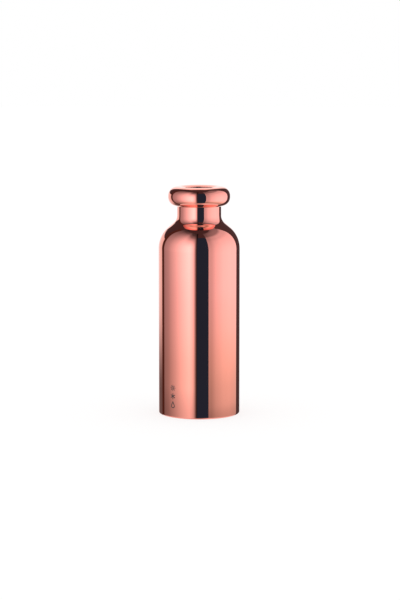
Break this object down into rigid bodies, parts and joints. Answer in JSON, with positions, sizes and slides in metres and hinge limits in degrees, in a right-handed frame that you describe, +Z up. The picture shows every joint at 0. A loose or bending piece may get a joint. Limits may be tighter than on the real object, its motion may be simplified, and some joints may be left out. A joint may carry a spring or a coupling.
{
  "type": "vacuum water bottle",
  "caption": "Round-shouldered water bottle with a mirror copper finish, a double wall and a ring-shaped screw closure that turns and rises out of the neck.",
  "frame": {"origin": "centre of the foot, on the surface the bottle stands on", "axes": "+Z up along the bottle's axis towards the closure; the bottle is round, so X and Y are free"},
  "size_m": [0.0736, 0.0736, 0.207],
  "materials": {
    "copper_mirror": "polished",
    "liner_steel": "satin",
    "foil_copper": "satin",
    "plate_steel": "satin",
    "solder_glass": "gloss",
    "getter_metal": "matte",
    "dark_plastic": "satin",
    "disc_plastic": "satin",
    "foam": "matte",
    "silicone": "satin"
  },
  "bodies": {
    "bottle": {"outer_shell": "copper_mirror", "inner_vessel": "liner_steel", "reflector_foil": "foil_copper", "outer_bottom": "plate_steel", "seal_glass": "solder_glass", "getter_pill": "getter_metal", "getter_holder": "plate_steel", "base_cover": "plate_steel"},
    "closure_lift": {"insulation_core": "foam"},
    "closure": {"cap_ring": "copper_mirror", "cap_carrier": "dark_plastic", "cap_disc": "disc_plastic", "stopper_body": "dark_plastic", "stopper_floor": "dark_plastic", "stopper_seal": "silicone", "mouth_seal": "silicone"}
  },
  "joints": [
    {"name": "cap_rise", "type": "slide", "parent": "bottle", "child": "closure_lift", "axis": [0, 0, 1], "range_m": [0, 0.02]},
    {"name": "cap_turn", "type": "hinge", "parent": "closure_lift", "child": "closure", "pos_m": [0, 0, 0.1981], "axis": [0, 0, 1], "range_deg": [0, 900]}
  ],
  "couplings": [
    {"joint": "cap_rise", "follows": "cap_turn", "m_per_rad": 0.0012732}
  ]
}
